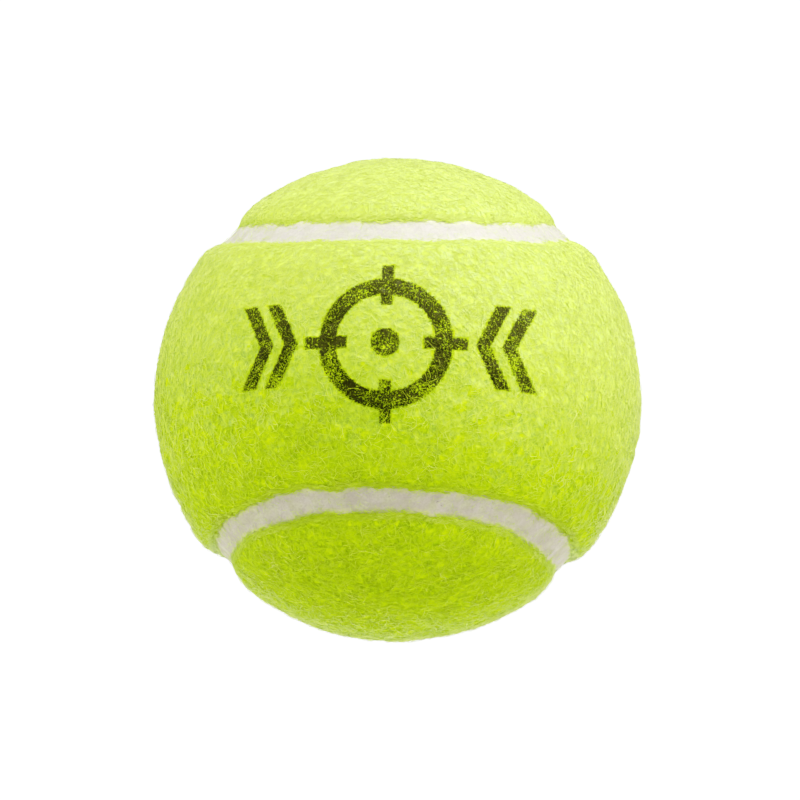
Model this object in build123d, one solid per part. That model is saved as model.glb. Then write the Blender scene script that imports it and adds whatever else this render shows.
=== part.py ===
from build123d import *
import math
import os

# A felt-covered rubber ball for a reflex-ball trainer, in millimetres.
# The origin is the centre of the ball. +Z is up, -Y is the front, where the ball
# carries its printed mark, and +Y is the back, where the elastic cord goes in.

# ---------------------------------------------------------------- driving sizes
BALL_DIAMETER = 67.0       # over the nap of the felt
FELT_THICKNESS = 3.3
CEMENT_THICKNESS = 0.2     # cured rubber solution between the core and the felt
CORE_WALL = 3.3

# The seam between the two felt panels.
SEAM_WIDTH = 4.0           # between the two felt edges, at the seam's surface
SEAM_SINK = 1.3            # the seam's surface lies this far below the nap
SHOULDER_WIDTH = 2.2       # the felt falls away over this width beside the seam
SHOULDER_DROP = 1.0

# The seam's line is a closed wave around the Y axis, nearest the front at the top and
# the bottom of the ball, and nearest the back at its two sides.
SEAM_SWING = math.radians(57.8)
SEAM_FIFTH = -0.046        # fifth harmonic, which squares off the panels' round ends
SEAM_SIXTH = -0.023        # sixth harmonic of the swing to the front and the back
SEAM_POINTS = 96           # points on each spline along the seam
EDGE_START = math.pi / 4   # the splines of the panels' edges start at the top of the front panel
SHOULDER_START = math.pi / 3   # and those of their shoulders a little beside it
CUTTER_PATCHES = 6         # each surface that cuts along the seam is made of this many patches
CUTTER_REACH = 7.0         # and runs this far below and above the nap

# The cement joint between the two moulded halves of the core.
BOND_THICKNESS = 0.3
BOND_BEAD_RADIUS = 0.6     # the bead squeezed out on the inside

# The moulded bush that lines the hole for the elastic cord.
CORD_BORE_RADIUS = 1.5
BUSH_RADIUS = 3.0
BUSH_FLANGE_RADIUS = 5.5
BUSH_FLANGE_THICKNESS = 1.6
BUSH_SINK = 0.5            # its face lies this far below the nap
BUSH_LEAD_IN = 0.4         # chamfer at the bore's mouth

# ---------------------------------------------------------------- worked-out sizes
NAP_RADIUS = BALL_DIAMETER / 2
FELT_INNER = NAP_RADIUS - FELT_THICKNESS
CORE_OUTER = FELT_INNER - CEMENT_THICKNESS
CORE_INNER = CORE_OUTER - CORE_WALL
SEAM_RADIUS = NAP_RADIUS - SEAM_SINK
SEAM_HALF_ANGLE = SEAM_WIDTH / 2 / SEAM_RADIUS
SHOULDER_ANGLE = SHOULDER_WIDTH / NAP_RADIUS
BUSH_FACE = NAP_RADIUS - BUSH_SINK
BUSH_FOOT = CORE_INNER - BUSH_FLANGE_THICKNESS

FRONT_TO_BACK = Plane(origin=(0, 0, 0), x_dir=(1, 0, 0), z_dir=(0, 1, 0))
FRONT, BACK = -1, 1


# ---------------------------------------------------------------- helpers
def shell(outer, inner):
    """A closed spherical shell about the origin, with its poles on the Y axis."""
    return FRONT_TO_BACK * (Sphere(outer) - Sphere(inner))


def rod(radius, start, end):
    """A solid cylinder on the Y axis from y = start to y = end."""
    disc = FRONT_TO_BACK.offset(start) * Circle(radius)
    return extrude(disc, amount=end - start)


def seam_direction(t):
    """The seam's centre line, as a direction from the ball's centre."""
    a = (1 + math.cos(SEAM_SWING)) / 2
    b = (1 - math.cos(SEAM_SWING)) / 2
    c = 2 * math.sqrt(a * b)
    p = a * math.cos(t) + b * math.cos(3 * t) + SEAM_FIFTH * math.cos(5 * t)
    q = a * math.sin(t) - b * math.sin(3 * t) + SEAM_FIFTH * math.sin(5 * t)
    swing = c * math.sin(2 * t) + SEAM_SIXTH * math.sin(6 * t)
    return Vector((p - q) / math.sqrt(2), -swing, (p + q) / math.sqrt(2)).normalized()


def beside_seam(t, side, angle):
    """A direction that is this angle away from the seam's line, to its front or its back."""
    step = 1e-4
    along = (seam_direction(t + step) - seam_direction(t - step)).normalized()
    towards_back = along.cross(seam_direction(t)).normalized()
    return seam_direction(t) * math.cos(angle) + towards_back * (side * math.sin(angle))


def seam_ring(side, start, angle, radius):
    """A closed spline that follows the seam at this angle beside it and this radius."""
    turns = [start + 2 * math.pi * i / SEAM_POINTS for i in range(SEAM_POINTS)]
    points = [beside_seam(t, side, angle) * radius for t in turns]
    return Edge.make_spline(points, periodic=True)


def cutter(inner, outer):
    """A ruled surface between two rings along the seam, in patches."""
    cuts = [i / CUTTER_PATCHES for i in range(CUTTER_PATCHES + 1)]
    return Shell([
        Face.make_surface_from_curves(inner.trim(low, high), outer.trim(low, high))
        for low, high in zip(cuts, cuts[1:])
    ])


def edge_cutter(side):
    """The surface that one panel's edge is cut on: it runs along the ball's radii."""
    return cutter(
        seam_ring(side, EDGE_START, SEAM_HALF_ANGLE, NAP_RADIUS - CUTTER_REACH),
        seam_ring(side, EDGE_START, SEAM_HALF_ANGLE, NAP_RADIUS + CUTTER_REACH),
    )


def shoulder_cutter(side):
    """The slanted surface that takes the corner off one panel's edge."""
    low_angle = SEAM_HALF_ANGLE - SHOULDER_ANGLE
    high_angle = SEAM_HALF_ANGLE + 2 * SHOULDER_ANGLE
    return cutter(
        seam_ring(side, SHOULDER_START, low_angle, NAP_RADIUS - 2 * SHOULDER_DROP),
        seam_ring(side, SHOULDER_START, high_angle, NAP_RADIUS + SHOULDER_DROP),
    )


def cut_off(solid, cutter, side):
    """What a cutting surface leaves of the solid on one side, front or back."""
    halves = split(solid, bisect_by=cutter, keep=Keep.ALL).solids()
    return max(halves, key=lambda piece: side * piece.center(CenterOf.MASS).Y)


# ---------------------------------------------------------------- the pieces
def core_half(side):
    """One moulded rubber half of the core. The back half has the bush's hole."""
    room = 2 * CORE_OUTER
    half_space = Pos(0, side * (room / 2 + BOND_THICKNESS / 2), 0) * Box(room, room, room)
    half = shell(CORE_OUTER, CORE_INNER) & half_space
    if side == BACK:
        half -= rod(BUSH_RADIUS, 0, NAP_RADIUS)
    return half


def core_bond_ring():
    """The cement joint of the core, with the bead that it squeezes out on the inside."""
    disc = rod(CORE_OUTER, -BOND_THICKNESS / 2, BOND_THICKNESS / 2)
    joint = (FRONT_TO_BACK * Sphere(CORE_OUTER)) & disc
    joint -= rod(CORE_INNER - BOND_BEAD_RADIUS / 2, -BOND_THICKNESS, BOND_THICKNESS)
    bead = (FRONT_TO_BACK * Torus(CORE_INNER, BOND_BEAD_RADIUS)) & Sphere(CORE_INNER)
    return joint + bead


def cement_layer():
    """The skin of cured cement that bonds the felt to the core."""
    return shell(FELT_INNER, CORE_OUTER) - rod(BUSH_RADIUS, 0, NAP_RADIUS)


def felt_panel(side):
    """One of the two like felt panels. The back one has the bush's hole."""
    panel = cut_off(shell(NAP_RADIUS, FELT_INNER), edge_cutter(side), side)
    panel = cut_off(panel, shoulder_cutter(side), side)
    if side == BACK:
        panel -= rod(BUSH_RADIUS, 0, NAP_RADIUS)
    return panel


def seam_bead():
    """The line of pale seam cement, sunk a little between the felt panels."""
    bead = cut_off(shell(SEAM_RADIUS, FELT_INNER), edge_cutter(FRONT), BACK)
    return cut_off(bead, edge_cutter(BACK), FRONT)


def cord_bush():
    """The bush for the elastic cord, held by the flange inside the core."""
    flange = rod(BUSH_FLANGE_RADIUS, BUSH_FOOT, NAP_RADIUS) & Sphere(CORE_INNER)
    bush = rod(BUSH_RADIUS, BUSH_FOOT, BUSH_FACE) + flange
    lead_in = FRONT_TO_BACK.offset(BUSH_FACE - BUSH_LEAD_IN / 2) * Cone(
        CORD_BORE_RADIUS, CORD_BORE_RADIUS + BUSH_LEAD_IN, BUSH_LEAD_IN
    )
    return bush - rod(CORD_BORE_RADIUS, 0, NAP_RADIUS) - lead_in


# ---------------------------------------------------------------- one file per piece
pieces = {
    "core_half_front": core_half(FRONT),
    "core_half_back": core_half(BACK),
    "core_bond_ring": core_bond_ring(),
    "cement_layer": cement_layer(),
    "felt_panel_front": felt_panel(FRONT),
    "felt_panel_back": felt_panel(BACK),
    "seam_bead": seam_bead(),
    "cord_bush": cord_bush(),
}

os.makedirs("parts", exist_ok=True)
for name, piece in pieces.items():
    export_step(piece, f"parts/{name}.step")
    print(name, round(piece.volume, 1), piece.is_valid)
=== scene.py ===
import math

import bmesh
import bpy
import numpy as np
from mathutils import Matrix


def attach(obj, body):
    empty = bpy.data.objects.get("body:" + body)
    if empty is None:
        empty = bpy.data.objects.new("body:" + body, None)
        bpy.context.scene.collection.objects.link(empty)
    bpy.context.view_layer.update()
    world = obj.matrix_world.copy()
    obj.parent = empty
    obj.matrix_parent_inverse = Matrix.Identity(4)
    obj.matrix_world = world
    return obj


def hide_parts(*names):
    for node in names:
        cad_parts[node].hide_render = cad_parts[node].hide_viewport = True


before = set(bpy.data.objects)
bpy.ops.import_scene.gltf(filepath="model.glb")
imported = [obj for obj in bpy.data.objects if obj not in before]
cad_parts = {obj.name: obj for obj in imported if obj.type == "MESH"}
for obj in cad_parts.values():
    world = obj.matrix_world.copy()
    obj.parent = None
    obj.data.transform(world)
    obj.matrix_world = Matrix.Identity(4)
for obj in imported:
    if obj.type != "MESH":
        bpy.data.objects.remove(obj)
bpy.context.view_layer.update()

# A felt-covered ball. The origin is its centre, -Y is the front with the printed mark,
# +Z is up, and the cord's hole is at +Y. Everything here is in metres.
MM = 0.001


def node_radii(node):
    """The smallest and the largest distance of a CAD node's vertices from the ball's centre."""
    lengths = [vertex.co.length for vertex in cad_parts[node].data.vertices]
    return min(lengths), max(lengths)


# ---------------------------------------------------------------- sizes from the frame
FELT_INNER, NAP_RADIUS = node_radii("felt_panel_front")
SEAM_RADIUS = node_radii("seam_bead")[1]
HOLE_RADIUS = min(
    math.hypot(vertex.co.x, vertex.co.z)
    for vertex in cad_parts["felt_panel_back"].data.vertices
    if vertex.co.y > NAP_RADIUS / 2
)

# ---------------------------------------------------------------- the seam's line
SEAM_SWING = math.radians(57.8)
SEAM_FIFTH = -0.046
SEAM_SIXTH = -0.023
SEAM_HALF_ANGLE = 2.0 * MM / SEAM_RADIUS
SEAM_SAMPLES = 400
NEAR_SEAM = 0.2                # within this angle of the line its sideways part is exact enough
FRONT, BACK = -1, 1

# ---------------------------------------------------------------- the felt
SHOULDER_WIDTH = 3.4 * MM      # the nap falls away over this width beside the seam
EDGE_RISE = 0.12 * MM          # the felt's edge lies this far above the seam's surface
EDGE_REACH = 0.5 * MM          # fibres past the edge come down to the seam over this width
NAP_SINK = {FRONT: 0.05 * MM, BACK: 0.25 * MM}   # each panel's body lies this far below the nap
SEAM_LEVEL = SEAM_RADIUS + 0.15 * MM             # the cement swells this much
EDGE_WOBBLE = 0.22 * MM        # how unevenly the felt's edge was cut
COLUMNS = 330                  # of the felt's mesh, along half of a panel's edge
SHOULDER_ROWS = 14             # across the part that falls away
FIELD_ROWS = 46                # and from there to the panel's spine
INNER_ROWS = 7                 # on the side that is glued down
SEAM_COLUMNS = 1200            # of the seam's mesh, along the seam
SEAM_ROWS = 17                 # across it
SEAM_TUCK = 0.12 * MM          # the seam reaches this far under the felt's edges
SEAM_CLIMB, SEAM_HOLLOW = 0.16, 0.05   # its rise to the felt and dip in the middle, in millimetres
SEAM_UNEVEN, SEAM_GRAIN = 0.05, 0.02   # its slow and its quick unevenness, in millimetres
SPINE_END = math.radians(92)   # a panel's round ends fan out from these points of its spine
HOLE_WINDOW = 2.5              # the columns in this many hole radii of the edge end at the hole

# ---------------------------------------------------------------- the nap's fibres
# Each kind's sizes are in millimetres, from the least to the most. bend is the radius of a
# fibre's curve, and lift and tip are its middle's and its end's height over the felt's body.
# shade goes from 0, deep, to 1, pale. Roots lie all over a panel, or in a band beside its
# edge, measured inwards. No kind has over 200 000 triangles.
DOWN = {
    "count": 32000, "rings": 1, "combed": True, "band": None,
    "length": (0.6, 1.5), "width": (0.045, 0.10), "bend": (0.6, 2.5),
    "lift": (0.0, 0.14), "tip": (-0.12, 0.16), "shade": (0.0, 0.75),
}
WISPS = {
    "count": 16000, "rings": 2, "combed": True, "band": None,
    "length": (1.2, 3.4), "width": (0.05, 0.085), "bend": (0.8, 3.0),
    "lift": (0.04, 0.22), "tip": (-0.12, 0.28), "shade": (0.35, 1.0),
}
FUZZ = {
    "count": 10000, "rings": 2, "combed": False, "band": None,
    "length": (1.0, 2.6), "width": (0.028, 0.045), "bend": (0.8, 3.0),
    "lift": (0.08, 0.35), "tip": (0.10, 0.60), "shade": (0.4, 1.0),
}
FRINGE = {
    "count": 16000, "rings": 2, "combed": True, "band": (-0.6, 0.6),
    "length": (0.6, 1.8), "width": (0.035, 0.075), "bend": (0.9, 4.0),
    "lift": (0.02, 0.20), "tip": (-0.05, 0.25), "shade": (0.2, 1.0),
}
STRAYS = {
    "count": 1800, "rings": 2, "combed": False, "band": (-2.2, 0.0),
    "length": (0.4, 1.4), "width": (0.025, 0.04), "bend": (1.5, 6.0),
    "lift": (0.02, 0.10), "tip": (-0.05, 0.10), "shade": (0.1, 1.0),
}
NAP = {
    "wisps": WISPS, "down_1": DOWN, "down_2": DOWN,
    "fringe": FRINGE, "fuzz": FUZZ, "strays": STRAYS,
}
ROOT_DEPTH = 0.1 * MM          # a fibre's root lies this far below the felt's surface
ROOT_CLEAR = 0.05 * MM         # and no nearer than this to a cut edge, but for those in a band
COMBED_WIDTH = 1.2 * MM        # nearer the edge than this, most fibres lie along it
COMBED_SHARE = 0.8
STRAND_ROUNDNESS = 0.45        # how much a strand's shading shows its own roundness

# ---------------------------------------------------------------- the nap from bottom to top
NAP_HEIGHTS = (-0.8, 0.8)      # between these shares of the ball's radius
SHADE_SPREAD_EVENED_BY_TOP_LIGHT = (1.25, 0.25)    # fibres differ less and less in shade, a painted evenness for the bright light on top
RAISED = (1.15, 0.55)          # and stand up less and less
UPPER_FROM = -9 * MM           # above this height the nap is duller and evener.
UPPER_TILT = 0.15              # The height falls this steeply towards +X,
UPPER_RAGGED = 4 * MM          # with this much give and take


# ================================================================ shapes
def unit(vectors):
    """The vectors at length 1."""
    return vectors / np.linalg.norm(vectors, axis=-1, keepdims=True)


class Unevenness:
    """A smooth random height over space, about -1 to 1, made of plane waves."""

    def __init__(self, wavelength, seed, waves=28):
        rng = np.random.default_rng(seed)
        lengths = wavelength * rng.uniform(0.7, 1.5, waves)
        self.waves = unit(rng.normal(size=(waves, 3))) * (2 * math.pi / lengths)[:, None]
        self.phases = rng.uniform(0, 2 * math.pi, waves)
        self.share = 1.4 / math.sqrt(waves)

    def at(self, points):
        """The height at each of these points, in metres from the ball's centre."""
        return np.sin(points @ self.waves.T + self.phases).sum(-1) * self.share


def seam_direction(t):
    """The seam's centre line as unit vectors, for an array of turns t."""
    a = (1 + math.cos(SEAM_SWING)) / 2
    b = (1 - math.cos(SEAM_SWING)) / 2
    c = 2 * math.sqrt(a * b)
    p = a * np.cos(t) + b * np.cos(3 * t) + SEAM_FIFTH * np.cos(5 * t)
    q = a * np.sin(t) - b * np.sin(3 * t) + SEAM_FIFTH * np.sin(5 * t)
    swing = c * np.sin(2 * t) + SEAM_SIXTH * np.sin(6 * t)
    return unit(np.stack([(p - q) / math.sqrt(2), -swing, (p + q) / math.sqrt(2)], axis=-1))


def seam_sideways(t):
    """Unit vectors across the seam, towards the back panel."""
    step = 1e-4
    along = unit(seam_direction(t + step) - seam_direction(t - step))
    return unit(np.cross(along, seam_direction(t)))


def even_turns(start, end, count):
    """Turns from start to end, evenly spaced along the seam's line."""
    fine = np.linspace(start, end, 4001)
    points = seam_direction(fine)
    runs = np.linalg.norm(np.diff(points, axis=0), axis=1)
    travelled = np.concatenate([[0], np.cumsum(runs)])
    return np.interp(np.linspace(0, travelled[-1], count), travelled, fine)


SEAM_TURNS = even_turns(0, 2 * math.pi, SEAM_SAMPLES + 1)[:-1]
SEAM_LINE = seam_direction(SEAM_TURNS)
SEAM_ACROSS = seam_sideways(SEAM_TURNS)
SEAM_ALONG = np.cross(SEAM_LINE, SEAM_ACROSS)
EDGE_FIELDS = {
    FRONT: (Unevenness(11 * MM, 11), Unevenness(2.6 * MM, 12)),
    BACK: (Unevenness(11 * MM, 21), Unevenness(2.6 * MM, 22)),
}


def edge_angle(side, seam_points):
    """How far from the seam's line one panel's uneven edge lies, at these points of the line."""
    slow, quick = EDGE_FIELDS[side]
    on_ball = seam_points * NAP_RADIUS
    wobble = EDGE_WOBBLE * (0.75 * slow.at(on_ball) + 0.45 * quick.at(on_ball))
    return SEAM_HALF_ANGLE + wobble / NAP_RADIUS


def from_seam(directions):
    """The angle from the seam's line, above 0 towards the back panel, and the nearest sample."""
    angles, nearest = [], []
    for part in np.array_split(directions, max(1, len(directions) // 8000)):
        index = np.argmax(part @ SEAM_LINE.T, axis=1)
        reach = np.einsum("ij,ij->i", part, SEAM_ACROSS[index])
        straight = np.arccos(np.clip(np.einsum("ij,ij->i", part, SEAM_LINE[index]), -1, 1))
        sideways = np.arcsin(np.clip(reach, -1, 1))
        angles.append(np.where(straight < NEAR_SEAM, sideways, np.sign(reach) * straight))
        nearest.append(index)
    return np.concatenate(angles), np.concatenate(nearest)


def from_edge(side, directions):
    """How far inside one felt panel's edge the directions lie, at the nap, and the nearest sample."""
    angle, nearest = from_seam(directions)
    return (side * angle - edge_angle(side, SEAM_LINE[nearest])) * NAP_RADIUS, nearest


def into_panel(side, directions):
    """How far inside one felt panel's edge the directions lie, in metres at the nap."""
    return from_edge(side, directions)[0]


LUMPS, LUMP_HEIGHT = Unevenness(9 * MM, 1), 0.08
TUFTS, TUFT_HEIGHT = Unevenness(2.4 * MM, 2), 0.045
CURLS, CURL_HEIGHT = Unevenness(0.9 * MM, 3), 0.02
EDGE_CALM = 0.7                # the lumps are this much lower at the edge


def nap_radius(side, directions, inside):
    """One panel's felt surface: lumpy, and rounded off towards the seam.

    The shoulder is half a quarter circle, nearly upright at the edge, and half a softer curve.
    """
    near = 1 - np.clip(inside / SHOULDER_WIDTH, 0, 1)
    body = NAP_RADIUS - NAP_SINK[side]
    drop = body - SEAM_LEVEL - EDGE_RISE
    quarter = (1 - np.sqrt(1 - 0.98 * near**2)) / 0.86
    fall = drop * (0.5 * quarter + 0.5 * near**2.2)
    fall += EDGE_RISE * np.clip(-inside / EDGE_REACH, 0, 1)
    on_ball = directions * NAP_RADIUS
    lumps = LUMP_HEIGHT * LUMPS.at(on_ball) + TUFT_HEIGHT * TUFTS.at(on_ball)
    lumps += CURL_HEIGHT * CURLS.at(on_ball)
    return body - fall + lumps * (1 - EDGE_CALM * near) * MM


def turn_to_panel(side, directions):
    """Directions laid out for the front panel, turned to where the back panel lies if need be."""
    if side == FRONT:
        return directions
    x, y, z = np.moveaxis(directions, -1, 0)
    return np.stack([z, -y, x], axis=-1)


def blend_directions(start, end, share):
    """Directions along the great circle from start to end."""
    angle = np.arccos(np.clip((start * end).sum(-1, keepdims=True), -1, 1))
    return unit(start * np.sin((1 - share) * angle) + end * np.sin(share * angle))


def mesh_object(name, points, faces, uv=None):
    """A smooth-shaded mesh piece. uv gives each face's corners on the bake's map."""
    mesh = bpy.data.meshes.new(name)
    mesh.from_pydata(points.tolist(), [], faces)
    if uv is not None:
        layer = mesh.uv_layers.new(name="OFBake")
        layer.data.foreach_set("uv", np.asarray(uv, np.float32).ravel())
    mesh.polygons.foreach_set("use_smooth", [True] * len(mesh.polygons))
    piece = bpy.data.objects.new(name, mesh)
    bpy.context.scene.collection.objects.link(piece)
    return piece


WELD_REACH = 0.001 * MM


def weld(piece):
    """Joins the vertices of a piece that lie on each other, and points its faces outwards."""
    work = bmesh.new()
    work.from_mesh(piece.data)
    bmesh.ops.remove_doubles(work, verts=work.verts, dist=WELD_REACH)
    bmesh.ops.dissolve_degenerate(work, edges=work.edges, dist=WELD_REACH / 2)
    bmesh.ops.recalc_face_normals(work, faces=work.faces)
    work.to_mesh(piece.data)
    work.free()


def panel_columns(side, hole_radius):
    """For each column of a panel's mesh, where it starts at the edge and ends on the spine.

    The spine runs along the panel's middle, from lobe to lobe. The columns near the cord's
    hole end on its circle instead, and is_open says which they are.
    """
    half = even_turns(-math.pi / 4, 3 * math.pi / 4, COLUMNS + 1)
    line, across = seam_direction(half), seam_sideways(half)
    turned = np.arctan2(line[:, 0], -line[:, 1])
    hole = hole_radius / NAP_RADIUS
    window = HOLE_WINDOW * hole + 1e-9
    round_hole = np.clip(turned / window, -1, 1) * math.pi / 2
    past_hole = np.sign(turned) * np.clip(abs(turned) - window, 0, None)
    spine = np.clip(hole * np.sin(round_hole) + past_hole, -SPINE_END, SPINE_END)
    open_by = hole * np.cos(round_hole)
    ends = unit(np.stack([np.sin(spine), -np.cos(spine), open_by], axis=-1))
    mirror = np.array([1, 1, -1])
    line = np.concatenate([line, line[-2:0:-1] * mirror])
    across = np.concatenate([across, across[-2:0:-1] * mirror])
    ends = np.concatenate([ends, ends[-2:0:-1] * mirror])
    line, across, ends = (turn_to_panel(side, v) for v in (line, -across, ends))
    angle = edge_angle(side, line)[:, None]
    starts = line * np.cos(angle) + across * np.sin(angle)
    is_open = np.concatenate([open_by, open_by[-2:0:-1]]) > 1e-6
    return starts, ends, is_open


def grid_faces(first, rows, columns, low, high, flip=False):
    """The quads of a grid that closes on itself sideways, and their corners from v = low to high."""
    faces, corners = [], []
    for row in range(rows - 1):
        for column in range(columns):
            step = (column + 1) % columns
            here, there = first + row * columns, first + (row + 1) * columns
            v0, v1 = (low + (high - low) * (row + k) / (rows - 1) for k in (0, 1))
            u0, u1 = column / columns, (column + 1) / columns
            quad = [here + column, here + step, there + step, there + column]
            square = [(u0, v0), (u1, v0), (u1, v1), (u0, v1)]
            if flip:
                quad.reverse()
                square.reverse()
            faces.append(quad)
            corners.extend(square)
    return faces, corners


def felt_panel(name, side, hole_radius=0.0):
    """One felt panel as a closed shell, with a rounded edge and an uneven surface."""
    starts, ends, is_open = panel_columns(side, hole_radius)
    columns = len(starts)
    reach = np.arccos(np.clip((starts * ends).sum(-1), -1, 1))
    shoulder = SHOULDER_WIDTH / NAP_RADIUS
    near_edge = (np.linspace(0, 1, SHOULDER_ROWS) ** 1.4)[:, None] * shoulder / reach
    field = np.linspace(0, 1, FIELD_ROWS + 1)[1:, None]
    outer_shares = np.concatenate([near_edge, near_edge[-1:] + (1 - near_edge[-1:]) * field])
    inner_shares = np.linspace(0, 1, INNER_ROWS)[:, None] * np.ones(columns)
    outer = blend_directions(starts, ends, outer_shares[..., None])
    inner = blend_directions(starts, ends, inner_shares[..., None])
    flat = outer.reshape(-1, 3)
    radius = nap_radius(side, flat, into_panel(side, flat))
    points = np.concatenate([flat * radius[:, None], inner.reshape(-1, 3) * FELT_INNER])

    rows = len(outer_shares)
    first_inner = rows * columns
    faces, corners = grid_faces(0, rows, columns, 0.3, 1.0)
    under, under_corners = grid_faces(first_inner, INNER_ROWS, columns, 0.25, 0.0, flip=True)
    faces += under
    corners += under_corners
    last_outer, last_inner = first_inner - columns, first_inner + (INNER_ROWS - 1) * columns
    for column in range(columns):
        step = (column + 1) % columns
        u0, u1 = column / columns, (column + 1) / columns
        square = [(u0, 0.25), (u1, 0.25), (u1, 0.3), (u0, 0.3)]
        faces.append([first_inner + column, first_inner + step, step, column])
        corners.extend(square)
        if is_open[column] or is_open[step]:
            here, there = last_outer + column, last_outer + step
            faces.append([here, there, last_inner + step, last_inner + column])
            corners.extend(square)
    piece = mesh_object(name, points, faces, corners)
    weld(piece)
    return piece


def seam_strip(name):
    """The seam's pale cement, which meets both felt edges and lies a little hollow between them."""
    turns = even_turns(0, 2 * math.pi, SEAM_COLUMNS + 1)[:-1]
    line, across = seam_direction(turns), seam_sideways(turns)
    tuck = SEAM_TUCK / NAP_RADIUS
    low = -(edge_angle(FRONT, line) + tuck)
    high = edge_angle(BACK, line) + tuck
    rings = []
    uneven, grain = Unevenness(4 * MM, 31), Unevenness(1.1 * MM, 32)
    for share in np.linspace(0, 1, SEAM_ROWS):
        angle = (low + (high - low) * share)[:, None]
        direction = line * np.cos(angle) + across * np.sin(angle)
        climb = SEAM_CLIMB * abs(2 * share - 1) ** 3
        on_ball = direction * NAP_RADIUS
        rough = SEAM_UNEVEN * uneven.at(on_ball) + SEAM_GRAIN * grain.at(on_ball)
        rings.append(direction * (SEAM_LEVEL + (climb + rough - SEAM_HOLLOW) * MM)[:, None])
    for share in (1, 0):
        angle = (low + (high - low) * share)[:, None]
        rings.append((line * np.cos(angle) + across * np.sin(angle)) * FELT_INNER)
    rings.append(rings[0])
    points = np.concatenate(rings)
    faces, corners = grid_faces(0, len(rings), len(turns), 0.0, 1.0, flip=True)
    piece = mesh_object(name, points, faces, corners)
    weld(piece)
    vertices = np.array([vertex.co for vertex in piece.data.vertices])
    angle, nearest = from_seam(unit(vertices))
    front_edge, back_edge = (edge_angle(side, SEAM_LINE[nearest]) for side in (FRONT, BACK))
    edge = np.where(angle < 0, front_edge, back_edge)
    layer = piece.data.attributes.new("edge_mm", "FLOAT", "POINT")
    layer.data.foreach_set("value", ((edge - abs(angle)) * NAP_RADIUS / MM).astype(np.float32))
    return piece


# ================================================================ the nap's fibres
def scattered_roots(side, count, rng, hole_radius):
    """Random directions all over one felt panel, clear of the cord's hole."""
    found = []
    while sum(map(len, found)) < count:
        tries = unit(rng.normal(size=(count, 3)))
        off_axis = np.hypot(tries[:, 0], tries[:, 2]) * NAP_RADIUS
        clear = (tries[:, 1] < 0) | (off_axis > hole_radius + ROOT_CLEAR)
        tries = tries[clear]
        found.append(tries[into_panel(side, tries) > ROOT_CLEAR])
    return np.concatenate(found)[:count]


def edge_roots(side, count, rng, band):
    """Random directions beside one felt panel's cut edge, the fewer the further outside it."""
    turns = rng.uniform(0, 2 * math.pi, count)
    line, across = seam_direction(turns), side * seam_sideways(turns)
    inside = band[0] + (band[1] - band[0]) * np.sqrt(rng.random(count))
    angle = (edge_angle(side, line) + inside * MM / NAP_RADIUS)[:, None]
    return line * np.cos(angle) + across * np.sin(angle)


def combed(side, roots, tangent):
    """The fibres' headings, turned to lie more along the felt's edge the nearer they are to it."""
    inside, nearest = from_edge(side, roots)
    pull = COMBED_SHARE * (1 - np.clip(abs(inside) / COMBED_WIDTH, 0, 1))[:, None]
    along = SEAM_ALONG[nearest]
    along = along * np.where((along * tangent).sum(-1) < 0, -1, 1)[:, None]
    mixed = tangent * (1 - pull) + along * pull
    return unit(mixed - roots * (mixed * roots).sum(-1, keepdims=True))


def strand_pattern(rings):
    """The triangles of one closed strand: a root, some three-sided rings and a tip."""
    tip = 1 + 3 * rings
    triangles = []
    for corner in range(3):
        after = (corner + 1) % 3
        triangles.append((0, 1 + corner, 1 + after))
        for ring in range(1, tip - 3, 3):
            triangles.append((ring + corner, ring + 3 + after, ring + after))
            triangles.append((ring + corner, ring + 3 + corner, ring + 3 + after))
        triangles.append((tip - 3 + corner, tip, tip - 3 + after))
    return np.array(triangles)


def strand_map(rings):
    """Where each vertex of a strand lies in its own cell of the bake's map."""
    spots = [(0.5, 0.05)]
    for ring in range(rings):
        spots += [(0.1 + 0.4 * corner, (ring + 1) / (rings + 1)) for corner in range(3)]
    return np.array(spots + [(0.5, 0.95)])


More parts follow.
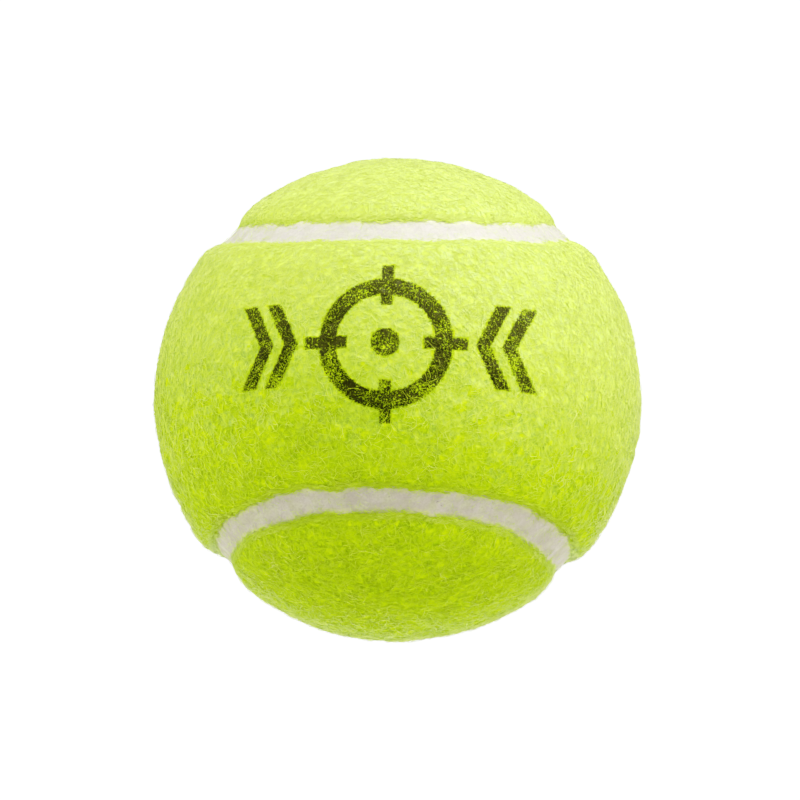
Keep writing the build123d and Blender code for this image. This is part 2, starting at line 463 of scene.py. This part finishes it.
def fibres(name, side, seed, kind, hole_radius=0.0):
    """Short curved fibres that lie over the felt, each one a closed spindle."""
    rng = np.random.default_rng(seed)
    count, rings = kind["count"], kind["rings"]

    def spread(low, high):
        """One random value for each fibre."""
        return rng.uniform(low, high, count)

    if kind["band"]:
        roots = edge_roots(side, count, rng, kind["band"])
    else:
        roots = scattered_roots(side, count, rng, hole_radius)
    heading = spread(0, 2 * math.pi)[:, None]
    aside = unit(np.cross(roots, [0.3, 0.2, 0.93]))
    tangent = aside * np.cos(heading) + np.cross(aside, roots) * np.sin(heading)
    if kind["combed"]:
        tangent = combed(side, roots, tangent)
    binormal = np.cross(roots, tangent)
    length = spread(*kind["length"]) * MM
    bend = spread(*kind["bend"]) * np.where(rng.random(count) < 0.5, -1, 1) * MM
    width = spread(*kind["width"]) * MM
    raised = np.interp(roots[:, 2], NAP_HEIGHTS, RAISED)
    lift = spread(*kind["lift"]) * raised * MM
    tip = spread(*kind["tip"]) * raised * MM

    centres = []
    heights = [np.full(count, -ROOT_DEPTH)] + [lift] * rings + [tip]
    for share, height in zip(np.linspace(-0.5, 0.5, rings + 2), heights):
        arc = share * length / bend
        shift = tangent * (np.sin(arc) * bend)[:, None] + binormal * ((1 - np.cos(arc)) * bend)[:, None]
        direction = unit(roots * NAP_RADIUS + shift)
        radius = nap_radius(side, direction, into_panel(side, direction))
        centres.append(direction * (radius + height)[:, None])

    size = 2 + 3 * rings
    points, normals = np.empty((count, size, 3)), np.empty((count, size, 3))
    points[:, 0], points[:, -1] = centres[0], centres[-1]
    normals[:, 0], normals[:, -1] = unit(centres[0]), unit(centres[-1])
    twist = spread(0, 2 * math.pi)
    for ring in range(rings):
        middle = centres[ring + 1]
        up = unit(middle)
        cross = unit(np.cross(centres[ring + 2] - centres[ring], up))
        for corner in range(3):
            angle = (twist + corner * 2 * math.pi / 3)[:, None]
            out = cross * np.cos(angle) + up * np.sin(angle)
            points[:, 1 + 3 * ring + corner] = middle + out * width[:, None] / 2
            normals[:, 1 + 3 * ring + corner] = unit(up + STRAND_ROUNDNESS * out)

    pattern = strand_pattern(rings)
    faces = (pattern[None] + size * np.arange(count)[:, None, None]).reshape(-1, 3)
    across = math.ceil(math.sqrt(count))
    cells = np.stack([np.arange(count) % across, np.arange(count) // across], axis=-1)
    uv = ((cells[:, None, None] + strand_map(rings)[pattern][None]) / across).reshape(-1, 2)
    piece = mesh_object(name, points.reshape(-1, 3), faces.tolist(), uv)
    piece.data.normals_split_custom_set_from_vertices(normals.reshape(-1, 3).tolist())
    middle_shade = sum(kind["shade"]) / 2
    # Fibres nearer the top differ less in shade: painted evenness for the bright light from above.
    differ = np.interp(roots[:, 2], NAP_HEIGHTS, SHADE_SPREAD_EVENED_BY_TOP_LIGHT)
    shade = np.clip(middle_shade + (spread(*kind["shade"]) - middle_shade) * differ, 0, 1)
    layer = piece.data.attributes.new("shade", "FLOAT", "POINT")
    layer.data.foreach_set("value", np.repeat(shade, size).astype(np.float32))
    return piece


# ================================================================ materials
class Tree:
    """A material's or a world's nodes, with a short way to add one and wire it up."""

    def __init__(self, owner):
        owner.use_nodes = True
        self.tree = owner.node_tree
        self.tree.nodes.clear()

    def add(self, kind, inputs=None, output=0, **settings):
        """Adds a node, sets or links its inputs, and returns one of its outputs."""
        node = self.tree.nodes.new("ShaderNode" + kind)
        for key, value in settings.items():
            setattr(node, key, value)
        for key, value in (inputs or {}).items():
            if isinstance(value, bpy.types.NodeSocket):
                self.tree.links.new(value, node.inputs[key])
            else:
                node.inputs[key].default_value = value
        return node.outputs[output] if node.outputs else node

    def math(self, operation, a, b=0.0, c=0.0, clamp=False):
        """A Math node's result."""
        return self.add("Math", {0: a, 1: b, 2: c}, operation=operation, use_clamp=clamp)

    def ramp(self, value, low, high):
        """0 below low, 1 above high, smooth between them."""
        return self.add("MapRange", {"Value": value, "From Min": low, "From Max": high},
                        interpolation_type="SMOOTHSTEP")

    def within(self, value, half, soft):
        """1 where a value lies within half of 0, fading to 0 over soft on each side."""
        size = self.math("ABSOLUTE", value)
        return self.add("MapRange", {"Value": size, "From Min": half - soft, "From Max": half + soft,
                                     "To Min": 1.0, "To Max": 0.0}, interpolation_type="SMOOTHSTEP")

    def colour(self, share, a, b):
        """A colour between a and b."""
        return self.add("Mix", {0: share, 6: a, 7: b}, output=2, data_type="RGBA")

    def place(self):
        """The point's place on the ball, in metres."""
        return self.add("TexCoord", output=3)

    def noise(self, scale_mm, detail=2.0, rough=0.5, shift=0.0):
        """Noise from 0 to 1 whose features are about this many millimetres across.

        Noises with different shifts don't follow each other.
        """
        vector = self.add("VectorMath", {0: self.place(), 1: (shift, shift, shift)}, operation="ADD")
        return self.add("TexNoise", {"Vector": vector, "Scale": 1 / (scale_mm * MM),
                                     "Detail": detail, "Roughness": rough})

    def finish(self, base, rough, bumps, strength, depth_mm, **plain):
        """Ends a material: its colour, its roughness, its bumps and the shader's plain settings."""
        bump = self.add("Bump", {"Strength": strength, "Distance": depth_mm * MM, "Height": bumps})
        inputs = {"Base Color": base, "Roughness": rough, "Normal": bump}
        for name, value in plain.items():
            inputs[name.replace("_", " ")] = value
        shader = self.add("BsdfPrincipled", inputs)
        self.add("OutputMaterial", {"Surface": shader})


# ---------------------------------------------------------------- colours
FELT_DEEP = (0.27, 0.46, 0.0005, 1)
FELT_MID = (0.56, 0.81, 0.001, 1)
FELT_PALE = (0.85, 0.96, 0.18, 1)
INK = (0.026, 0.017, 0.0004, 1)

CEMENT_PALE = ((0.52, 0.475, 0.42, 1), (0.52, 0.51, 0.35, 1))   # pinkish, and yellowish
CEMENT_DULL = ((0.43, 0.385, 0.32, 1), (0.43, 0.42, 0.26, 1))
CEMENT_GRAIN = (0.34, 0.31, 0.22, 1)
CEMENT_STAIN = (0.58, 0.60, 0.20, 1)
CEMENT_SPECK = (0.16, 0.14, 0.10, 1)

# ---------------------------------------------------------------- the printed mark, in millimetres
MARK_CENTRE = (1.3, 1.8)       # x and z
RING_RADIUS, RING_HALF = 7.6, 1.15         # each HALF is half of a line's width
TICK_FROM, TICK_TO, TICK_HALF = 5.0, 10.6, 0.8
DOT_RADIUS = 1.9
CHEVRON_TIPS = (11.6, 14.9)    # from the mark's centre
CHEVRON_SLANT, CHEVRON_TALL, CHEVRON_HALF = 0.45, 5.6, 0.95
MARK_SOFT = 0.16               # the ink fades out over this much on each side of a line's edge
MARK_RAGGED = 0.7              # and its outline wanders by up to half of this
PRINT_MARGIN = 0.12            # the printed felt's own material reaches this far past the mark


def printed_mark(tree):
    """1 inside a plain target, a ring with four ticks and a dot, between pairs of chevrons."""
    spot = tree.add("SeparateXYZ", {0: tree.place()}, output=0).node
    ragged = tree.math("MULTIPLY_ADD", tree.noise(0.35, 2, shift=0.4), MARK_RAGGED, -MARK_RAGGED / 2)
    across, height = (
        tree.math("ADD", tree.math("MULTIPLY_ADD", spot.outputs[axis], 1 / MM, -centre), ragged)
        for axis, centre in zip((0, 2), MARK_CENTRE)
    )
    wide, tall = tree.math("ABSOLUTE", across), tree.math("ABSOLUTE", height)
    squares = tree.math("MULTIPLY_ADD", across, across, tree.math("MULTIPLY", height, height))
    radius = tree.math("SQRT", squares)
    tick_middle, tick_half_length = (TICK_FROM + TICK_TO) / 2, (TICK_TO - TICK_FROM) / 2
    shapes = [
        tree.within(tree.math("SUBTRACT", radius, RING_RADIUS), RING_HALF, MARK_SOFT),
        tree.within(radius, DOT_RADIUS, MARK_SOFT),
    ]
    for along, beside in ((across, height), (height, across)):
        length = tree.math("SUBTRACT", tree.math("ABSOLUTE", along), tick_middle)
        shapes.append(tree.math("MULTIPLY", tree.within(length, tick_half_length, MARK_SOFT),
                                tree.within(beside, TICK_HALF, MARK_SOFT)))
    slanted = tree.math("MULTIPLY_ADD", tall, -CHEVRON_SLANT, wide)
    for tip in CHEVRON_TIPS:
        bar = tree.within(tree.math("SUBTRACT", slanted, tip + CHEVRON_HALF), CHEVRON_HALF, MARK_SOFT)
        shapes.append(tree.math("MULTIPLY", bar, tree.within(tall, CHEVRON_TALL, MARK_SOFT)))
    mask = shapes[0]
    for shape in shapes[1:]:
        mask = tree.math("MAXIMUM", mask, shape)
    front = tree.math("LESS_THAN", spot.outputs[1], 0.0)
    return tree.math("MULTIPLY", mask, front)


def near_mark(points):
    """Which of these points lie in the printed mark, or at its margin."""
    across, height = points[:, 0] / MM - MARK_CENTRE[0], points[:, 2] / MM - MARK_CENTRE[1]
    wide, tall, radius = abs(across), abs(height), np.hypot(across, height)
    found = (abs(radius - RING_RADIUS) < RING_HALF + PRINT_MARGIN) | (radius < DOT_RADIUS + PRINT_MARGIN)
    for along, beside in ((wide, tall), (tall, wide)):
        length = (along > TICK_FROM - PRINT_MARGIN) & (along < TICK_TO + PRINT_MARGIN)
        found |= length & (beside < TICK_HALF + PRINT_MARGIN)
    for tip in CHEVRON_TIPS:
        bar = abs(wide - CHEVRON_SLANT * tall - tip - CHEVRON_HALF) < CHEVRON_HALF + PRINT_MARGIN
        found |= bar & (tall < CHEVRON_TALL + PRINT_MARGIN)
    return found & (points[:, 1] < 0)


def ink_cover(tree):
    """How much ink lies on the felt: speckled, and thinner in some places than in others."""
    patchy = tree.math("MULTIPLY_ADD", tree.noise(2.6, 2, shift=0.5), 0.5, 0.25)
    speckle = tree.math("SUBTRACT", tree.noise(0.22, 2, shift=0.6), patchy)
    cover = tree.ramp(speckle, -0.18, -0.02)
    return tree.math("MULTIPLY", printed_mark(tree), tree.math("MULTIPLY_ADD", cover, 0.85, 0.10))


def felt_material(name, fibre, printed, gloss, sheen):
    """Optic yellow felt. Fibres differ in shade, the felt under them is painted deeper as shade in the
    gaps between fibres, and ink dulls both.
    """
    material = bpy.data.materials.new(name)
    tree = Tree(material)
    broad = tree.ramp(tree.noise(3.5, 3, shift=0.1), 0.35, 0.65)
    fine = tree.ramp(tree.noise(0.7, 2, shift=0.2), 0.3, 0.7)
    if fibre:
        # The deep half of the shades runs up to the middle colour, and clouds of the rest are pale.
        own = tree.add("Attribute", attribute_name="shade", output=2)
        base = tree.colour(tree.ramp(own, -0.1, 0.65), FELT_DEEP, FELT_MID)
        cloud = tree.math("MULTIPLY_ADD", tree.ramp(tree.noise(4.5, 3, shift=0.35), 0.3, 0.7), 0.8, 0.1)
        pale = tree.math("MULTIPLY", tree.math("POWER", own, 3.0), cloud)
        base = tree.colour(pale, base, FELT_PALE)
        base = tree.colour(tree.math("MULTIPLY", fine, 0.25), base, FELT_DEEP)
    else:
        # The felt's body stays deep: painted shade for the gaps between the fibres.
        base = tree.colour(fine, FELT_DEEP, FELT_MID)
    # Towards the top the colours draw nearer to the middle one, painted evenness for the bright light
    # from above, and in random patches anywhere they do so too.
    height = tree.add("SeparateXYZ", {0: tree.place()}, output=2)
    painted_top_evenness = tree.math("MULTIPLY", tree.ramp(height, -0.5 * NAP_RADIUS, 0.9 * NAP_RADIUS), 0.5)
    base = tree.colour(tree.math("MAXIMUM", tree.math("MULTIPLY", broad, 0.35), painted_top_evenness), base, FELT_MID)
    if printed:
        ink = ink_cover(tree)
        if fibre:
            # The palest fibres have grown out past the ink.
            ink = tree.math("MULTIPLY", ink, tree.ramp(own, 0.98, 0.80))
        base = tree.colour(ink, base, INK)
    rough = tree.add("MapRange", {"Value": fine, "To Min": 0.78, "To Max": 0.92})
    tree.finish(base, rough, tree.noise(0.3, 3, 0.6), strength=0.3, depth_mm=0.1,
                Specular_IOR_Level=gloss, Sheen_Weight=sheen,
                Sheen_Roughness=0.3, Sheen_Tint=(1.0, 1.0, 0.9, 1))
    return material


def seam_material():
    """Pale grey-beige cement: matt, mottled, yellower near the felt, with a few dark specks."""
    material = bpy.data.materials.new("seam_cement")
    tree = Tree(material)
    broad = tree.ramp(tree.noise(2.2, 4, 0.6), 0.35, 0.68)
    hue = tree.ramp(tree.noise(1.3, 3, shift=0.9), 0.35, 0.65)
    base = tree.colour(broad, tree.colour(hue, *CEMENT_DULL), tree.colour(hue, *CEMENT_PALE))
    grain = tree.ramp(tree.noise(0.28, 3, 0.6, shift=0.7), 0.35, 0.7)
    base = tree.colour(tree.math("MULTIPLY", grain, 0.45), base, CEMENT_GRAIN)
    reach = tree.math("ADD", tree.add("Attribute", attribute_name="edge_mm", output=2),
                      tree.math("MULTIPLY_ADD", tree.noise(0.6, 3, shift=0.8), 1.6, -0.8))
    stain = tree.math("MULTIPLY", tree.ramp(reach, 1.1, 0.1), 0.7)
    base = tree.colour(stain, base, CEMENT_STAIN)
    specks = tree.ramp(tree.noise(0.45, 1, shift=0.3), 0.74, 0.78)
    base = tree.colour(tree.math("MULTIPLY", specks, 0.6), base, CEMENT_SPECK)
    rough = tree.add("MapRange", {"Value": broad, "To Min": 0.65, "To Max": 0.9})
    tree.finish(base, rough, tree.noise(0.6, 4, 0.6), strength=0.4, depth_mm=0.2, Specular_IOR_Level=0.8)
    return material


def rubber_material(name, dark, light, grain_mm):
    """Matt moulded rubber with a faint mottle."""
    material = bpy.data.materials.new(name)
    tree = Tree(material)
    mottle = tree.ramp(tree.noise(grain_mm, 4, 0.6), 0.3, 0.7)
    rough = tree.add("MapRange", {"Value": mottle, "To Min": 0.5, "To Max": 0.75})
    tree.finish(tree.colour(mottle, dark, light), rough, tree.noise(grain_mm / 4, 3, 0.6),
                strength=0.3, depth_mm=0.08)
    return material


def wear(piece, material):
    """Gives a piece its material."""
    piece.data.materials.clear()
    piece.data.materials.append(material)


def wear_felt(piece, lower, upper, printed):
    """Gives a felt piece a material below, another above, and the printed one in and around the mark."""
    wear(piece, lower)
    centres = np.empty(3 * len(piece.data.polygons), np.float32)
    piece.data.polygons.foreach_get("center", centres)
    centres = centres.reshape(-1, 3)
    height = centres[:, 2] + UPPER_TILT * centres[:, 0]
    above = height > UPPER_FROM + UPPER_RAGGED * TUFTS.at(centres)
    piece.data.materials.append(upper)
    index = np.where(above, 1, 0)
    marked = near_mark(centres)
    if marked.any():
        piece.data.materials.append(printed)
        index[marked] = 2
    piece.data.polygons.foreach_set("material_index", index.astype(np.int32))


# ================================================================ camera, light and floor
VIEW_ACROSS = math.radians(5.25)     # the camera stands this far round towards +X
VIEW_BELOW = math.radians(9.76)      # and this far below the ball's middle
VIEW_ROLL = math.radians(-0.93)
VIEW_DISTANCE = 15 * NAP_RADIUS
VIEW_SHIFT = (0.0027, -0.001)        # of the picture's width
BALL_SHARE = 0.6055                  # the ball's width in the picture's width
SENSOR = 36.0

WORLD_LIGHT = 0.76
WORLD_TINT = (1.0, 0.985, 0.82, 1)
BACKDROP_LIGHT = 1.7                 # what the camera sees of the world, which is white
WHITE_POINT = 1.6
TONE = ((0.02, 0.004), (0.045, 0.016), (0.085, 0.065), (0.15, 0.15), (0.40, 0.41), (0.64, 0.61),
        (0.81, 0.71), (1.02, 0.80), (1.28, 0.90))       # the scene's light, and the picture's

# Each lamp's name, place, size and watts, and whether it lights only the surfaces' sheen.
LAMPS = (
    ("softbox_top", (0.40, -0.45, 0.80), 0.9, 14.8, False),
    ("softbox_left", (-0.95, -0.15, 0.25), 0.9, 8.5, False),
    ("softbox_right", (0.95, -0.35, 0.15), 0.9, 5.0, False),
    ("softbox_low", (0.0, 0.45, -0.26), 0.2, 2.5, False),
    ("sheen_top", (0.40, -0.45, 0.80), 0.9, 50.0, True),
    ("sheen_left", (-0.75, -0.35, 0.45), 0.9, 12.0, True),
    ("sheen_right", (0.75, -0.05, 0.60), 0.9, 13.0, True),
)

FLOOR_LEVEL = -0.35
FLOOR_HALF = 6.0


def make_camera():
    """The scene's camera, which sees the ball from the front and a little from below."""
    camera = bpy.data.objects.new("camera", bpy.data.cameras.new("camera"))
    bpy.context.scene.collection.objects.link(camera)
    turn = (Matrix.Rotation(VIEW_ACROSS, 4, "Z") @ Matrix.Rotation(VIEW_BELOW, 4, "X")
            @ Matrix.Rotation(VIEW_ROLL, 4, "Y"))
    camera.matrix_world = (turn @ Matrix.Translation((0, -VIEW_DISTANCE, 0))
                           @ Matrix.Rotation(math.pi / 2, 4, "X"))
    reach = math.sqrt((VIEW_DISTANCE / NAP_RADIUS) ** 2 - 1)
    camera.data.sensor_width = SENSOR
    camera.data.lens = SENSOR * BALL_SHARE / 2 * reach
    camera.data.shift_x, camera.data.shift_y = VIEW_SHIFT
    camera.data.clip_start = 0.01
    bpy.context.scene.camera = camera


def area_light(name, place, size, watts, sheen_only):
    """A soft square light, aimed at the ball."""
    light = bpy.data.objects.new(name, bpy.data.lights.new(name, "AREA"))
    bpy.context.scene.collection.objects.link(light)
    light.data.shape = "SQUARE"
    light.data.size = size
    light.data.energy = watts
    light.location = place
    light.rotation_mode = "QUATERNION"
    light.rotation_quaternion = light.location.to_track_quat("Z", "Y")
    light.visible_camera = False
    light.visible_diffuse = not sheen_only


def make_light():
    """White all round, which is also the backdrop, and soft boxes, the strongest at the top right."""
    world = bpy.data.worlds.new("studio")
    bpy.context.scene.world = world
    world.cycles_visibility.glossy = False
    tree = Tree(world)
    seen = tree.add("LightPath")
    strength = tree.add("MapRange", {"Value": seen, "To Min": WORLD_LIGHT, "To Max": BACKDROP_LIGHT})
    tint = tree.colour(seen, WORLD_TINT, (1, 1, 1, 1))
    glow = tree.add("Background", {"Color": tint, "Strength": strength})
    tree.add("OutputWorld", {"Surface": glow})
    for lamp in LAMPS:
        area_light(*lamp)


def make_tone():
    """A photograph's gentle contrast: a short toe, and a soft shoulder up to white."""
    view = bpy.context.scene.view_settings
    view.view_transform = "Standard"
    view.use_curve_mapping = True
    mapping = view.curve_mapping
    mapping.clip_max_x = WHITE_POINT
    curve = mapping.curves[3]
    curve.points[1].location = (WHITE_POINT, 1.0)
    for light_in, light_out in TONE:
        curve.points.new(light_in, light_out)
    mapping.update()


def make_floor(name, height, paint, glow):
    """A plain matt floor well below the ball, which hangs from its cord in use."""
    corners = ((-1, -1), (1, -1), (1, 1), (-1, 1))
    points = np.array([(FLOOR_HALF * x, FLOOR_HALF * y, height) for x, y in corners])
    floor = mesh_object(name, points, [(0, 1, 2, 3)])
    material = bpy.data.materials.new(name)
    tree = Tree(material)
    shader = tree.add("BsdfPrincipled", {"Base Color": paint, "Roughness": 0.9,
                                         "Emission Color": (1, 1, 1, 1), "Emission Strength": glow})
    tree.add("OutputMaterial", {"Surface": shader})
    floor.data.materials.append(material)
    return floor


def make_floors():
    """One floor that only throws light back, and a paler one that only the camera sees."""
    bounce = make_floor("floor_bounce", FLOOR_LEVEL - MM, (0.6, 0.6, 0.6, 1), 0.0)
    bounce.visible_camera = False
    seen = make_floor("floor_seen", FLOOR_LEVEL, (0.80, 0.81, 0.97, 1), 0.35)
    seen.visible_diffuse = False
    seen.visible_glossy = False
    seen.visible_transmission = False
    seen.visible_shadow = False


# ================================================================ the ball
make_camera()
make_light()
make_tone()
make_floors()

lower_body = felt_material("lower_body", fibre=False, printed=False, gloss=0.2, sheen=0.0)
lower_down = felt_material("lower_down", fibre=True, printed=False, gloss=0.45, sheen=0.12)
lower_wisps = felt_material("lower_wisps", fibre=True, printed=False, gloss=1.0, sheen=0.5)
upper_body = felt_material("upper_body", fibre=False, printed=False, gloss=0.8, sheen=0.3)
upper_fibre = felt_material("upper_fibre", fibre=True, printed=False, gloss=0.8, sheen=0.3)
printed_body = felt_material("printed_body", fibre=False, printed=True, gloss=0.2, sheen=0.05)
printed_fibre = felt_material("printed_fibre", fibre=True, printed=True, gloss=0.2, sheen=0.05)

for name, side, hole in (("front", FRONT, 0.0), ("back", BACK, HOLE_RADIUS)):
    panel = felt_panel("felt_" + name, side, hole)
    wear_felt(panel, lower_body, upper_body, printed_body)
    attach(panel, "root")
    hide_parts("felt_panel_" + name)
    for number, (kind_name, kind) in enumerate(NAP.items()):
        nap = fibres(f"nap_{name}_{kind_name}", side, 100 * (side + 2) + number, kind, hole)
        wear_felt(nap, lower_down if kind is DOWN else lower_wisps, upper_fibre, printed_fibre)
        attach(nap, "root")

seam = seam_strip("seam")
wear(seam, seam_material())
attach(seam, "root")
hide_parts("seam_bead")

black_rubber = rubber_material("black_rubber", (0.012, 0.012, 0.012, 1), (0.03, 0.03, 0.03, 1), 1.2)
core_rubber = rubber_material("core_rubber", (0.22, 0.21, 0.19, 1), (0.32, 0.31, 0.28, 1), 3.0)
cement = rubber_material("cement", (0.5, 0.44, 0.3, 1), (0.62, 0.56, 0.42, 1), 2.0)
for node, material, slot in (
    ("cord_bush", black_rubber, "bush"),
    ("core_half_front", core_rubber, "core_rubber"),
    ("core_half_back", core_rubber, "core_rubber"),
    ("core_bond_ring", cement, "core_cement"),
    ("cement_layer", cement, "core_cement"),
):
    wear(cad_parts[node], material)
